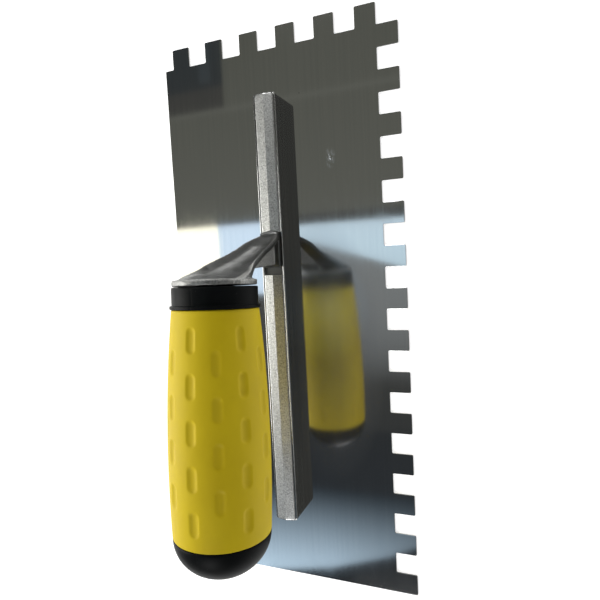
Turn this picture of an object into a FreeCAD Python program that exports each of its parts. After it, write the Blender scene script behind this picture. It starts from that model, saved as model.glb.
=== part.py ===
import FreeCAD, Part

import math
import os

import Sketcher
from FreeCAD import Placement, Rotation, Vector

# Notched trowel, in millimetres. The origin is under the middle of the blade's overall rectangle, on the
# working face. +X points to the notched long edge, +Y to the notched short edge and +Z up to the handle.

SIZES = {
    # blade
    "blade_length": 280,
    "blade_width": 125,
    "blade_thick": 0.7,
    "notch_pitch": 20,
    "notch_width": 10,
    "notch_depth": 10,
    "tooth_round": 0.6,
    # mounting rail
    "rail_length": 210,
    "rail_width": 11.6,
    "rail_height": 12.5,
    "rail_crown": 0.7,
    "bead_width": 0.7,
    "bead_drop": 0.9,
    "bead_groove": 0.4,
    "rail_end_round": 1.6,
    "seat_rear": 18.5,
    "seat_length": 20.6,
    "seat_depth": 2.5,
    "seat_bulge": 1.0,
    # rivets
    "rivet_radius": 2,
    "rivet_head_radius": 3.2,
    "rivet_depth": 7,
    "rivet_end_margin": 12,
    "rear_rivet_count": 5,
    "front_rivet_count": 3,
    "neck_rivet_spacing": 8.6,
    "neck_rivet_grip": 3.4,
    "rivet_gap": 0.05,
    # neck
    "seat_gap": 0.1,
    "recess_length": 4,
    "foot_thick": 4.3,
    "web_thick": 4.6,
    "rim_thick": 3,
    "plate_thick": 2.8,
    "dish_depth": 2.3,
    "flange_radius": 16.6,
    "flange_thick": 2.2,
    "collar_gap": 0.5,
    "spigot_radius": 7,
    "spigot_length": 14,
    "web_rear_inset": 1,
    "web_knee_back": 1.5,
    "web_knee_drop": 4.6,
    # handle, measured along its axis from the collar's front face
    "axis_height": 66.6,
    "handle_front": 16.3,
    "handle_tilt": 3.3,
    "handle_length": 112,
    "collar_length": 8.4,
    "collar_radius": 16.7,
    "lip_height": 0.8,
    "lip_length": 1.4,
    "sleeve_end": 95.5,
    "sleeve_front_radius": 16.9,
    "sleeve_belly_radius": 19.7,
    "sleeve_end_radius": 19.2,
    "sleeve_thick": 3,
    "dimple_length": 9.8,
    "dimple_width": 4.4,
    "dimple_depth": 1,
    "dimple_pitch": 16.5,
    "dimple_start": 19.3,
    "dimple_end_margin": 10.2,
    "dimple_columns": 6,
    "cap_wall": 3,
    "cap_tip_radius": 1.5,
    "cap_socket_depth": 6,
    "cap_spigot_radius": 13,
    "part_gap": 0.1,
    # tang, washer and nut
    "tang_radius": 4,
    "tang_bore_gap": 0.4,
    "thread_gap": 0.05,
    "tang_grip": 12,
    "nut_pocket_radius": 10,
    "nut_pocket_depth": 13,
    "washer_radius": 9,
    "washer_thick": 1.6,
    "nut_width": 13,
    "nut_thick": 6.5,
    "tang_overrun": 2,
}

doc = FreeCAD.newDocument("notched_trowel")
sheet = doc.addObject("Spreadsheet::Sheet", "Sizes")
for row, (alias, number) in enumerate(SIZES.items(), start=1):
    sheet.set(f"A{row}", alias)
    sheet.set(f"B{row}", str(number))
    sheet.setAlias(f"B{row}", alias)
doc.recompute()


class Size:
    """A length or angle that carries both its number and the sheet formula that gives it."""

    def __init__(self, number, formula):
        self.number = number
        self.formula = formula

    def joined(self, other, sign, number):
        return Size(number, f"({self.formula} {sign} {as_size(other).formula})")

    def __add__(self, other):
        return self.joined(other, "+", self.number + as_size(other).number)

    def __sub__(self, other):
        return self.joined(other, "-", self.number - as_size(other).number)

    def __mul__(self, other):
        return self.joined(other, "*", self.number * as_size(other).number)

    def __truediv__(self, other):
        return self.joined(other, "/", self.number / as_size(other).number)

    def __neg__(self):
        return Size(-self.number, f"(0 - {self.formula})")


def as_size(value):
    return value if isinstance(value, Size) else Size(value, repr(value))


def named(alias):
    return Size(float(sheet.get(alias)), f"Sizes.{alias}")


def sine(angle):
    return Size(math.sin(math.radians(angle.number)), f"sin({angle.formula} * 1 deg)")


def cosine(angle):
    return Size(math.cos(math.radians(angle.number)), f"cos({angle.formula} * 1 deg)")


def bind(thing, place, value):
    thing.setExpression(place, as_size(value).formula)


ZERO = Size(0.0, "0")

blade_length = named("blade_length")
blade_width = named("blade_width")
blade_thick = named("blade_thick")
notch_pitch = named("notch_pitch")
notch_width = named("notch_width")
notch_depth = named("notch_depth")
rail_half = named("rail_width") / 2
rail_half_length = named("rail_length") / 2
rail_top = blade_thick + named("rail_height")
seat_floor = rail_top - named("seat_depth")
seat_rear = named("seat_rear")
seat_front = seat_rear + named("seat_length")
seat_half = rail_half - named("bead_width") - named("bead_groove") / 2
foot_rear = seat_rear + named("recess_length")
foot_front = seat_front - named("seat_gap")
foot_half = seat_half - named("seat_gap")
axis_height = named("axis_height")
handle_front = named("handle_front")
handle_tilt = named("handle_tilt")
collar_length = named("collar_length")
sleeve_end = named("sleeve_end")
thread_gap = named("thread_gap")
tang_radius = named("tang_radius")
part_gap = named("part_gap")

WHOLE = 0.001  # keeps a count whole where a length is an exact number of pitches


# ---------------------------------------------------------------- sketches and features


def new_body(label):
    body = doc.addObject("PartDesign::Body", label)
    body.Label = label
    return body


def origin_feature(body, role):
    return next(item for item in body.Origin.OriginFeatures if item.Role == role)


def new_sketch(body, name, role, lift=None):
    """A sketch on one of the body's own planes, lifted along the plane's normal."""
    sketch = body.newObject("Sketcher::SketchObject", name)
    sketch.AttachmentSupport = [(origin_feature(body, role), "")]
    sketch.MapMode = "FlatFace"
    if lift is not None:
        sketch.AttachmentOffset = Placement(Vector(0, 0, lift.number), Rotation())
        bind(sketch, "AttachmentOffset.Base.z", lift)
    return sketch


def new_handle_sketch(body, name, along=ZERO):
    """A sketch square to the handle's axis, at a distance behind the collar's front face."""
    lean = as_size(90) - handle_tilt
    middle_y = handle_front - along * cosine(handle_tilt)
    middle_z = axis_height + along * sine(handle_tilt)
    sketch = new_sketch(body, name, "XY_Plane")
    sketch.AttachmentOffset = Placement(
        Vector(0, middle_y.number, middle_z.number), Rotation(Vector(1, 0, 0), lean.number)
    )
    bind(sketch, "AttachmentOffset.Base.y", middle_y)
    bind(sketch, "AttachmentOffset.Base.z", middle_z)
    sketch.setExpression("AttachmentOffset.Rotation.Angle", f"{lean.formula} * 1 deg")
    return sketch


def pin_point(sketch, geometry, end, point):
    """Holds one end of a sketch line or arc at x, y sizes from the sketch's origin."""
    for kind, value in zip(("DistanceX", "DistanceY"), point):
        value = as_size(value)
        index = sketch.addConstraint(
            Sketcher.Constraint(kind, -1, 1, geometry, end, value.number)
        )
        bind(sketch, f"Constraints[{index}]", value)


def vector(point):
    return Vector(as_size(point[0]).number, as_size(point[1]).number, 0)


def draw_loop(sketch, corners, bulges=None):
    """A closed outline. A bulge turns the edge that starts at that corner into an arc through a point."""
    bulges = bulges or {}
    count = len(corners)
    edges = []
    for i, corner in enumerate(corners):
        start = vector(corner)
        end = vector(corners[(i + 1) % count])
        if i in bulges:
            edges.append(Part.Arc(start, vector(bulges[i]), end))
        else:
            edges.append(Part.LineSegment(start, end))
    for edge in edges:
        sketch.addGeometry(edge, False)
    ends = [first_and_last(sketch, i, corners[i]) for i in range(count)]
    for i, corner in enumerate(corners):
        after = (i + 1) % count
        sketch.addConstraint(Sketcher.Constraint("Coincident", i, ends[i][1], after, ends[after][0]))
        pin_point(sketch, i, ends[i][0], corner)
    for i, point in bulges.items():
        place = sketch.addGeometry(Part.Point(vector(point)), True)
        pin_point(sketch, place, 1, point)
        sketch.addConstraint(Sketcher.Constraint("PointOnObject", place, 1, i))


def first_and_last(sketch, geometry, corner):
    """An arc runs anticlockwise, so its start may be the outline's far corner."""
    start = sketch.getPoint(geometry, 1)
    return (1, 2) if start.distanceToPoint(vector(corner)) < WHOLE else (2, 1)


def draw_box(sketch, low, high):
    draw_loop(sketch, [low, (high[0], low[1]), high, (low[0], high[1])])


def draw_circle(sketch, radius):
    radius = as_size(radius)
    circle = sketch.addGeometry(Part.Circle(Vector(), Vector(0, 0, 1), radius.number), False)
    sketch.addConstraint(Sketcher.Constraint("Coincident", circle, 3, -1, 1))
    index = sketch.addConstraint(Sketcher.Constraint("Radius", circle, radius.number))
    bind(sketch, f"Constraints[{index}]", radius)


def extrude(body, kind, sketch, length, both_ways=False, backwards=False):
    feature = body.newObject(f"PartDesign::{kind}", f"{sketch.Name}_{kind.lower()}")
    feature.Profile = sketch
    bind(feature, "Length", length)
    feature.Midplane = both_ways
    feature.Reversed = backwards
    sketch.Visibility = False
    return feature


def turn(body, kind, sketch, axis="V_Axis"):
    feature = body.newObject(f"PartDesign::{kind}", f"{sketch.Name}_{kind.lower()}")
    feature.Profile = sketch
    feature.ReferenceAxis = (sketch, [axis])
    feature.Angle = 360
    sketch.Visibility = False
    return feature


def repeat_in_line(body, feature, role, pitch, count, backwards=False):
    """Repeats a feature along one of the body's own axes."""
    if count < 2:
        return feature
    pattern = body.newObject("PartDesign::LinearPattern", f"{feature.Name}_row")
    pattern.Originals = [feature]
    pattern.Direction = (origin_feature(body, role), [""])
    pattern.Reversed = backwards
    bind(pattern, "Length", pitch * (count - 1))
    pattern.Occurrences = count
    body.Tip = pattern
    return pattern


def repeat_around(body, feature, count):
    pattern = body.newObject("PartDesign::PolarPattern", f"{feature.Name}_ring")
    pattern.Originals = [feature]
    pattern.Axis = (origin_feature(body, "Z_Axis"), [""])
    pattern.Angle = 360
    pattern.Occurrences = count
    body.Tip = pattern
    return pattern


def fillet(body, name, edge_names, radius):
    base = body.Tip
    feature = body.newObject("PartDesign::Fillet", name)
    feature.Base = (base, edge_names)
    bind(feature, "Radius", radius)
    return feature


def on_handle(thing):
    """Stands a piece made along its own Z axis on the handle's axis, Z running back to the butt."""
    lean = as_size(90) - handle_tilt
    thing.Placement = Placement(
        Vector(0, handle_front.number, axis_height.number), Rotation(Vector(1, 0, 0), lean.number)
    )
    bind(thing, "Placement.Base.y", handle_front)
    bind(thing, "Placement.Base.z", axis_height)
    thing.setExpression("Placement.Rotation.Angle", f"{lean.formula} * 1 deg")


# ---------------------------------------------------------------- rivet places

# The blade's rivets stand in two runs, one each side of the neck's seat, clear of its ends.
end_margin = named("rivet_end_margin")
rear_start = -rail_half_length + end_margin
rear_count = int(named("rear_rivet_count").number)
rear_pitch = (seat_rear - end_margin + rail_half_length - end_margin) / (rear_count - 1)
front_start = seat_front + end_margin
front_count = int(named("front_rivet_count").number)
front_pitch = (rail_half_length - end_margin - seat_front - end_margin) / (front_count - 1)
neck_spacing = named("neck_rivet_spacing")
neck_start = (foot_rear + foot_front) / 2 - neck_spacing / 2
rivet_radius = named("rivet_radius")
rivet_head = named("rivet_head_radius")
rivet_gap = named("rivet_gap")
RIVET_RUNS = [
    ("rear", rear_start, rear_pitch, rear_count),
    ("front", front_start, front_pitch, front_count),
    ("neck", neck_start, neck_spacing, 2),
]


# ---------------------------------------------------------------- blade


def make_blade():
    """One sheet: a plain rectangle with its square notches cut in, then small rounds on every corner."""
    body = new_body("blade")
    outline = new_sketch(body, "blade_outline", "XY_Plane")
    half_x = blade_width / 2
    half_y = blade_length / 2
    draw_box(outline, (-half_x, -half_y), (half_x, half_y))
    extrude(body, "Pad", outline, blade_thick)

    # The first gap on the short edge is the blade's own corner, so both rows of teeth end beside it.
    across = new_sketch(body, "short_edge_gap", "XY_Plane")
    draw_box(across, (half_x - notch_width, half_y - notch_depth), (half_x, half_y))
    cut = extrude(body, "Pocket", across, blade_thick, backwards=True)
    inner_width = (blade_width - notch_depth - (notch_pitch - notch_width)) / notch_pitch
    repeat_in_line(body, cut, "X_Axis", notch_pitch, 1 + math.ceil(inner_width.number - WHOLE), True)

    along = new_sketch(body, "long_edge_gap", "XY_Plane")
    first_top = half_y - notch_depth - (notch_pitch - notch_width)
    draw_box(along, (half_x - notch_depth, first_top - notch_width), (half_x, first_top))
    cut = extrude(body, "Pocket", along, blade_thick, backwards=True)
    inner_length = (blade_length - notch_depth - (notch_pitch - notch_width)) / notch_pitch
    repeat_in_line(body, cut, "Y_Axis", notch_pitch, math.floor(inner_length.number + WHOLE), True)

    doc.recompute()
    upright = []
    for number, edge in enumerate(body.Tip.Shape.Edges, start=1):
        if edge.BoundBox.ZLength > blade_thick.number / 2:
            upright.append(f"Edge{number}")
    fillet(body, "tooth_rounds", upright, named("tooth_round"))

    # Countersunk from the working face, so the rivets finish flush with it.
    for name, start, pitch, count in RIVET_RUNS:
        hole = new_sketch(body, f"{name}_rivet_hole", "XZ_Plane", -start)
        wide = rivet_head + rivet_gap
        narrow = rivet_radius + rivet_gap
        draw_loop(hole, [(ZERO, ZERO), (wide, ZERO), (narrow, blade_thick), (ZERO, blade_thick)])
        cut = turn(body, "Groove", hole)
        repeat_in_line(body, cut, "Y_Axis", pitch, count)
    return body


# ---------------------------------------------------------------- rail


def make_rail():
    """A straight bar with smooth sides, two thin side beads and a low two-facet top between them."""
    body = new_body("rail")
    section = new_sketch(body, "rail_section", "XZ_Plane")
    bead_top = rail_top - named("bead_drop")
    bead = named("bead_width")
    groove = named("bead_groove")
    crown_foot = rail_top - named("rail_crown")
    right = [
        (rail_half, blade_thick),
        (rail_half, bead_top - groove),
        (rail_half - groove, bead_top),
        (rail_half - bead, bead_top),
        (rail_half - bead - groove / 2, bead_top - groove),
        (rail_half - bead - groove, crown_foot),
    ]
    left = [(-x, z) for x, z in reversed(right)]
    draw_loop(section, right + [(ZERO, rail_top)] + left)
    extrude(body, "Pad", section, rail_half_length * 2, both_ways=True)

    doc.recompute()
    ends = []
    for number, edge in enumerate(body.Tip.Shape.Edges, start=1):
        box = edge.BoundBox
        at_side = abs(abs(box.Center.x) - rail_half.number) < WHOLE
        if at_side and box.ZLength > rail_half.number:
            ends.append(f"Edge{number}")
    fillet(body, "end_rounds", ends, named("rail_end_round"))

    # The neck's seat, open at the top, with a front end that bulges forward.
    seat = new_sketch(body, "neck_seat", "XY_Plane", seat_floor)
    corners = [
        (-seat_half, seat_rear),
        (seat_half, seat_rear),
        (seat_half, seat_front),
        (-seat_half, seat_front),
    ]
    draw_loop(seat, corners, {2: (ZERO, seat_front + named("seat_bulge"))})
    extrude(body, "Pocket", seat, named("seat_depth"), backwards=True)

    for name, start, pitch, count in RIVET_RUNS:
        hole = new_sketch(body, f"{name}_rail_hole", "XZ_Plane", -start)
        top = seat_floor if name == "neck" else blade_thick + named("rivet_depth") + rivet_gap
        draw_box(hole, (ZERO, blade_thick), (rivet_radius + rivet_gap, top))
        cut = turn(body, "Groove", hole)
        repeat_in_line(body, cut, "Y_Axis", pitch, count)
    return body


# ---------------------------------------------------------------- rivets


def make_rivets(label, runs, tip):
    """Flush countersunk rivets, each a cone in the blade with a straight shank up to the tip's height."""
    rivets = []
    for name, start, pitch, count in runs:
        for i in range(count):
            place = start + pitch * i
            head = doc.addObject("Part::Cone", f"{name}_head_{i}")
            bind(head, "Radius1", rivet_head)
            bind(head, "Radius2", rivet_radius)
            bind(head, "Height", blade_thick)
            shank = doc.addObject("Part::Cylinder", f"{name}_shank_{i}")
            bind(shank, "Radius", rivet_radius)
            bind(shank, "Height", tip - blade_thick)
            bind(shank, "Placement.Base.z", blade_thick)
            for piece in (head, shank):
                bind(piece, "Placement.Base.y", place)
            rivet = doc.addObject("Part::MultiFuse", f"{name}_rivet_{i}")
            rivet.Shapes = [head, shank]
            rivet.Refine = True
            rivets.append(rivet)
    group = doc.addObject("Part::Compound", label)
    group.Label = label
    group.Links = rivets
    return group


# ---------------------------------------------------------------- neck

# Cross sections of the neck's plate from its root to its top. Each gives its share of the height, of the
# way back, of the growth in width and of the dish's depth. The root is crowned, the middle is hollow, and
# the top draws in to follow the round flange.
PLATE_SECTIONS = [
    (0.000, 0.000, 0.00, -0.35),
    (0.045, 0.035, 0.00, -0.25),
    (0.150, 0.133, 0.18, 0.35),
    (0.330, 0.335, 0.30, 0.80),
    (0.500, 0.520, 0.46, 1.00),
    (0.675, 0.705, 0.70, 1.00),
    (0.805, 0.862, 0.91, 0.80),
    (0.905, 0.952, 0.81, 0.45),
    (1.000, 1.000, 0.38, 0.10),
]
PLATE_TOP_SHARE = 0.82  # the plate runs into the flange this part of its radius above the axis
SPINE_SECTIONS = 6  # the web's front edge follows this many of the plate's sections from the root
RIM_TUCK = 0.6  # how far the rounded rim's edges stand in from its widest line
WEB_SINK = 0.5  # share of the plate's thickness that the web's front edge sinks into it


def make_neck():
    """A die casting: foot, upright web, dished plate leaning back to a round flange, and a spigot."""
    body = new_body("neck")
    flange_radius = named("flange_radius")
    flange_face = handle_front + named("collar_gap")
    plate_end = flange_face + named("flange_thick") / 2
    top = axis_height + flange_radius * PLATE_TOP_SHARE
    rim = named("rim_thick")
    dish = named("dish_depth")
    plate = named("plate_thick")

    # The plate: a smooth loft through level sections.
    sections = []
    spine = []
    for i, (rise, back, growth, hollow) in enumerate(PLATE_SECTIONS):
        height = seat_floor + (top - seat_floor) * rise
        front = foot_front - (foot_front - plate_end) * back
        half = foot_half + (flange_radius - foot_half) * growth
        middle = front - dish * hollow
        tuck = half - RIM_TUCK
        section = new_sketch(body, f"plate_section_{i}", "XY_Plane", height)
        corners = [(tuck, front), (-tuck, front), (-tuck, front - rim), (tuck, front - rim)]
        bulges = {
            0: (ZERO, middle),
            1: (-half, front - rim / 2),
            2: (ZERO, middle - plate),
            3: (half, front - rim / 2),
        }
        draw_loop(section, corners, bulges)
        sections.append(section)
        spine.append((middle - plate * WEB_SINK, height))
    loft = body.newObject("PartDesign::AdditiveLoft", "dished_plate")
    loft.Profile = sections[0]
    loft.Sections = sections[1:]
    loft.Ruled = False
    for section in sections:
        section.Visibility = False

    # The foot fills the front of the rail's seat.
    foot = new_sketch(body, "foot_outline", "XY_Plane", seat_floor)
    corners = [
        (-foot_half, foot_rear),
        (foot_half, foot_rear),
        (foot_half, foot_front),
        (-foot_half, foot_front),
    ]
    draw_loop(foot, corners, {2: (ZERO, foot_front + named("seat_bulge") - named("seat_gap"))})
    extrude(body, "Pad", foot, named("foot_thick"))

    # The web fills the corner behind the plate, with an upright rear edge.
    web = new_sketch(body, "web_outline", "YZ_Plane")
    web_rear = foot_rear + named("web_rear_inset")
    low = axis_height - flange_radius
    rear_edge = [
        (flange_face, axis_height),
        (flange_face, low + rim),
        (web_rear - named("web_knee_back"), low - named("web_knee_drop")),
        (web_rear, seat_floor),
    ]
    draw_loop(web, rear_edge + spine[:SPINE_SECTIONS])
    extrude(body, "Pad", web, named("web_thick"), both_ways=True)

    disc = new_handle_sketch(body, "flange_disc", -named("collar_gap"))
    draw_circle(disc, flange_radius)
    extrude(body, "Pad", disc, named("flange_thick"), backwards=True)

    # Nothing of the plate or web may stand behind the flange's flat rear face.
    trim = new_handle_sketch(body, "flange_trim", -named("collar_gap"))
    draw_circle(trim, flange_radius * 2)
    extrude(body, "Pocket", trim, flange_radius, backwards=True)

    spigot = new_handle_sketch(body, "spigot_disc", -named("collar_gap"))
    draw_circle(spigot, named("spigot_radius"))
    extrude(body, "Pad", spigot, named("spigot_length") + named("collar_gap"))

    bore = new_handle_sketch(body, "tang_thread", named("spigot_length"))
    draw_circle(bore, tang_radius + thread_gap)
    extrude(body, "Pocket", bore, named("tang_grip"))

    hole = new_sketch(body, "foot_hole", "XZ_Plane", -neck_start)
    hole_top = seat_floor + named("neck_rivet_grip") + rivet_gap
    draw_box(hole, (ZERO, seat_floor), (rivet_radius + rivet_gap, hole_top))
    cut = turn(body, "Groove", hole)
    repeat_in_line(body, cut, "Y_Axis", neck_spacing, 2)
    return body


# ---------------------------------------------------------------- handle

lip_start = collar_length - named("lip_length")
collar_radius = named("collar_radius")
sleeve_thick = named("sleeve_thick")
sleeve_front_radius = named("sleeve_front_radius")
sleeve_belly_radius = named("sleeve_belly_radius")
sleeve_end_radius = named("sleeve_end_radius")
sleeve_middle = (collar_length + sleeve_end) / 2
socket_end = sleeve_end + named("cap_socket_depth")
nut_seat = socket_end - named("nut_pocket_depth")
tang_bore = tang_radius + named("tang_bore_gap")
bond_gap = part_gap / 2


def make_handle_core():
    """The moulded core: front collar with its thin rear lip, a stem under the sleeve and the cap's spigot."""
    body = new_body("handle_core")
    half = new_sketch(body, "core_section", "XZ_Plane")
    corners = [
        (named("spigot_radius") + part_gap, ZERO),
        (collar_radius, ZERO),
        (collar_radius, lip_start),
        (collar_radius + named("lip_height"), lip_start),
        (collar_radius + named("lip_height"), collar_length - bond_gap),
        (sleeve_front_radius - sleeve_thick - bond_gap, collar_length - bond_gap),
        (sleeve_end_radius - sleeve_thick - bond_gap, sleeve_end - part_gap),
        (named("cap_spigot_radius"), sleeve_end - part_gap),
        (named("cap_spigot_radius"), socket_end),
        (named("nut_pocket_radius"), socket_end),
        (named("nut_pocket_radius"), nut_seat),
        (tang_bore, nut_seat),
        (tang_bore, named("spigot_length") + part_gap),
        (named("spigot_radius") + part_gap, named("spigot_length") + part_gap),
    ]
    belly = (sleeve_belly_radius - sleeve_thick - bond_gap, sleeve_middle)
    draw_loop(half, corners, {5: belly})
    turn(body, "Revolution", half)
    on_handle(body)
    return body


def sleeve_radius_at(along):
    """The sleeve's outside radius, on a smooth curve through its front, belly and end radii."""
    behind_front = (along - collar_length) / (sleeve_end - collar_length)
    before_end = as_size(1) - behind_front
    from_middle = as_size(1) - behind_front * 2
    return (
        sleeve_front_radius * before_end * from_middle
        + sleeve_belly_radius * behind_front * before_end * 4
        - sleeve_end_radius * behind_front * from_middle
    )


def make_grip_sleeve():
    """Soft rubber over the core, with staggered columns of oblong dimples all round."""
    body = new_body("grip_sleeve")
    half = new_sketch(body, "sleeve_section", "XZ_Plane")
    corners = [
        (sleeve_front_radius - sleeve_thick, collar_length),
        (sleeve_front_radius, collar_length),
        (sleeve_end_radius, sleeve_end),
        (sleeve_end_radius - sleeve_thick, sleeve_end),
    ]
    outer = (sleeve_belly_radius, sleeve_middle)
    inner = (sleeve_belly_radius - sleeve_thick, sleeve_middle)
    draw_loop(half, corners, {1: outer, 3: inner})
    turn(body, "Revolution", half)

    # Each ring of dimples is one oblong pocket, repeated round the axis. Rings half a pitch apart are
    # turned by half a column, which staggers the columns. The sleeve's length gives the number of rings.
    length = named("dimple_length")
    width = named("dimple_width")
    columns = int(named("dimple_columns").number)
    first = named("dimple_start")
    step = named("dimple_pitch") / 2
    steps = (sleeve_end - named("dimple_end_margin") - first) / step
    for i in range(1 + math.floor(steps.number + WHOLE)):
        along = first + step * i
        floor = sleeve_radius_at(along) - named("dimple_depth")
        turned = as_size((i % 2) * 180 / columns)
        floor_x = floor * sine(turned)
        floor_z = floor * cosine(turned)
        oblong = new_sketch(body, f"dimple_{i}", "XZ_Plane")
        oblong.AttachmentOffset = Placement(
            Vector(floor_x.number, 0, floor_z.number), Rotation(Vector(0, 1, 0), turned.number)
        )
        bind(oblong, "AttachmentOffset.Base.x", floor_x)
        bind(oblong, "AttachmentOffset.Base.z", floor_z)
        straight = (length - width) / 2
        low = along - straight
        high = along + straight
        side = width / 2
        corners = [(-side, low), (side, low), (side, high), (-side, high)]
        draw_loop(oblong, corners, {0: (ZERO, low - side), 2: (ZERO, high + side)})
        cut = extrude(body, "Pocket", oblong, sleeve_thick, backwards=True)
        repeat_around(body, cut, columns)
    on_handle(body)
    return body


def make_butt_cap():
    """A hollow rounded cap that pushes on to the core's spigot and hides the nut."""
    body = new_body("butt_cap")
    half = new_sketch(body, "cap_section", "XZ_Plane")
    front = sleeve_end + bond_gap
    socket = named("cap_spigot_radius") + part_gap
    tip = named("handle_length")
    wall = named("cap_wall")
    roof = socket_end + part_gap
    shoulder = (sleeve_end_radius * math.cos(math.pi / 4), front + (tip - front) * math.sin(math.pi / 4))
    corners = [
        (socket, front),
        (sleeve_end_radius, front),
        shoulder,
        (named("cap_tip_radius"), tip),
        (ZERO, tip),
        (ZERO, tip - wall),
        (named("nut_pocket_radius"), roof),
        (socket, roof),
    ]
    # The rounded end is drawn as two arcs through points of one quarter ellipse.
    bulges = {}
    for i, angle in ((1, math.pi / 8), (2, math.pi * 3 / 8)):
        bulges[i] = (sleeve_end_radius * math.cos(angle), front + (tip - front) * math.sin(angle))
    draw_loop(half, corners, bulges)
    turn(body, "Revolution", half)
    on_handle(body)
    return body


# ---------------------------------------------------------------- tang, washer and nut


def make_tang():
    """The steel rod, screwed into the neck's spigot and carrying the nut at the butt."""
    rod = doc.addObject("Part::Cylinder", "tang")
    rod.Label = "tang"
    front = named("spigot_length") - named("tang_grip") + thread_gap
    back = nut_seat + named("washer_thick") + named("nut_thick") + named("tang_overrun")
    bind(rod, "Radius", tang_radius)
    bind(rod, "Height", back - front)
    on_handle(rod)
    bind(rod, "Placement.Base.y", handle_front - front * cosine(handle_tilt))
    bind(rod, "Placement.Base.z", axis_height + front * sine(handle_tilt))
    return rod


def make_washer():
    body = new_body("tang_washer")
    half = new_sketch(body, "washer_section", "XZ_Plane")
    low = (tang_radius + named("tang_bore_gap"), nut_seat)
    high = (named("washer_radius"), nut_seat + named("washer_thick"))
    draw_box(half, low, high)
    turn(body, "Revolution", half)
    on_handle(body)
    return body


def make_nut():
    """A plain hexagon nut on the tang's thread, seated on the washer."""
    body = new_body("tang_nut")
    base = nut_seat + named("washer_thick")
    hexagon = new_sketch(body, "nut_outline", "XY_Plane", base)
    across_corners = named("nut_width") / math.cos(math.pi / 6)
    corners = []
    for i in range(6):
        angle = math.pi / 3 * i
        corners.append((across_corners / 2 * math.cos(angle), across_corners / 2 * math.sin(angle)))
    draw_loop(hexagon, corners)
    extrude(body, "Pad", hexagon, named("nut_thick"))
    bore = new_sketch(body, "nut_bore", "XY_Plane", base)
    draw_circle(bore, tang_radius + thread_gap)
    extrude(body, "Pocket", bore, named("nut_thick"), backwards=True)
    on_handle(body)
    return body


# ---------------------------------------------------------------- build, check and write

rivet_tip = blade_thick + named("rivet_depth")
neck_rivet_tip = seat_floor + named("neck_rivet_grip")
pieces = [
    make_blade(),
    make_rail(),
    make_rivets("blade_rivets", RIVET_RUNS[:2], rivet_tip),
    make_rivets("neck_rivets", RIVET_RUNS[2:], neck_rivet_tip),
    make_neck(),
    make_handle_core(),
    make_grip_sleeve(),
    make_butt_cap(),
    make_tang(),
    make_washer(),
    make_nut(),
]
doc.recompute()

for item in doc.Objects:
    if "Invalid" in item.State or "Error" in item.State:
        raise RuntimeError(f"{item.Name} failed: {item.State} {item.getStatusString()}")

os.makedirs("parts", exist_ok=True)
for piece in pieces:
    shape = piece.Shape
    if shape.isNull() or not shape.isValid():
        raise RuntimeError(f"{piece.Label} has no valid shape")
    shape.exportStep(os.path.join("parts", f"{piece.Label}.step"))
    box = shape.BoundBox
    print(
        f"{piece.Label}: {len(shape.Solids)} solids, {shape.Volume:.0f} mm3, "
        f"x {box.XMin:.2f} {box.XMax:.2f}, y {box.YMin:.2f} {box.YMax:.2f}, z {box.ZMin:.2f} {box.ZMax:.2f}"
    )
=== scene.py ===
import math

import bmesh
import bpy
from mathutils import Matrix, Vector, noise


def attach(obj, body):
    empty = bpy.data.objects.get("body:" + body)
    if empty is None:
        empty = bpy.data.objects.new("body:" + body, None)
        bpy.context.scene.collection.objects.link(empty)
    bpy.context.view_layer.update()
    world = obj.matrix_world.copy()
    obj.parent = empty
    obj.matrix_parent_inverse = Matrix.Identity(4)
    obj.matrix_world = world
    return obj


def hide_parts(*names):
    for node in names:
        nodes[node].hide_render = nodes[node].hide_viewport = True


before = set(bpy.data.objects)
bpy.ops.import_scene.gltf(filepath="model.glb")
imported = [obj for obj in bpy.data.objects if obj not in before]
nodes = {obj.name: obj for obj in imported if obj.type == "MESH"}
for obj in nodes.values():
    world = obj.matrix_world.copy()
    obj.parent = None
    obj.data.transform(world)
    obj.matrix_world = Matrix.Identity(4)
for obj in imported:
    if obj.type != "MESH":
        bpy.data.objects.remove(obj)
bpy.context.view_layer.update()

scene = bpy.context.scene


# ---------------------------------------------------------------- blade
# One sheet of stainless steel, 280 x 125 x 0.7 mm, stamped with 10 mm square notches on two edges.
# It is ground across and polished, so what it mirrors is drawn out lengthways. Its cut edges are
# lightly broken, and both faces carry fine streaks, a few specks and a hand's smudges.
MM = 0.001
EDGE_BREAK = 0.1 * MM
WELD = 0.0005 * MM


def welded(node):
    """The node's own shape as one clean skin, with doubled corners joined and flat areas made whole."""
    skin = bmesh.new()
    skin.from_mesh(nodes[node].data)
    bmesh.ops.remove_doubles(skin, verts=skin.verts, dist=WELD)
    bmesh.ops.dissolve_limit(skin, angle_limit=math.radians(1), verts=skin.verts, edges=skin.edges)
    mesh = bpy.data.meshes.new(node)
    skin.to_mesh(mesh)
    skin.free()
    return mesh


def add_piece(name, mesh, material, stands_for):
    """Puts a mesh in the scene as one piece of the tool, in place of the nodes that it stands for."""
    piece = bpy.data.objects.new(name, mesh)
    scene.collection.objects.link(piece)
    mesh.materials.clear()
    mesh.materials.append(material)
    mesh.polygons.foreach_set("use_smooth", [True] * len(mesh.polygons))
    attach(piece, "root")
    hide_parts(stands_for)
    return piece


def new_material(name, settings):
    """A material and its surface shader, with plain numbers and colours set on the shader itself."""
    material = bpy.data.materials.new(name)
    material.use_nodes = True
    surface = material.node_tree.nodes["Principled BSDF"]
    for socket, value in settings.items():
        surface.inputs[socket].default_value = value
    return material, surface


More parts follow.
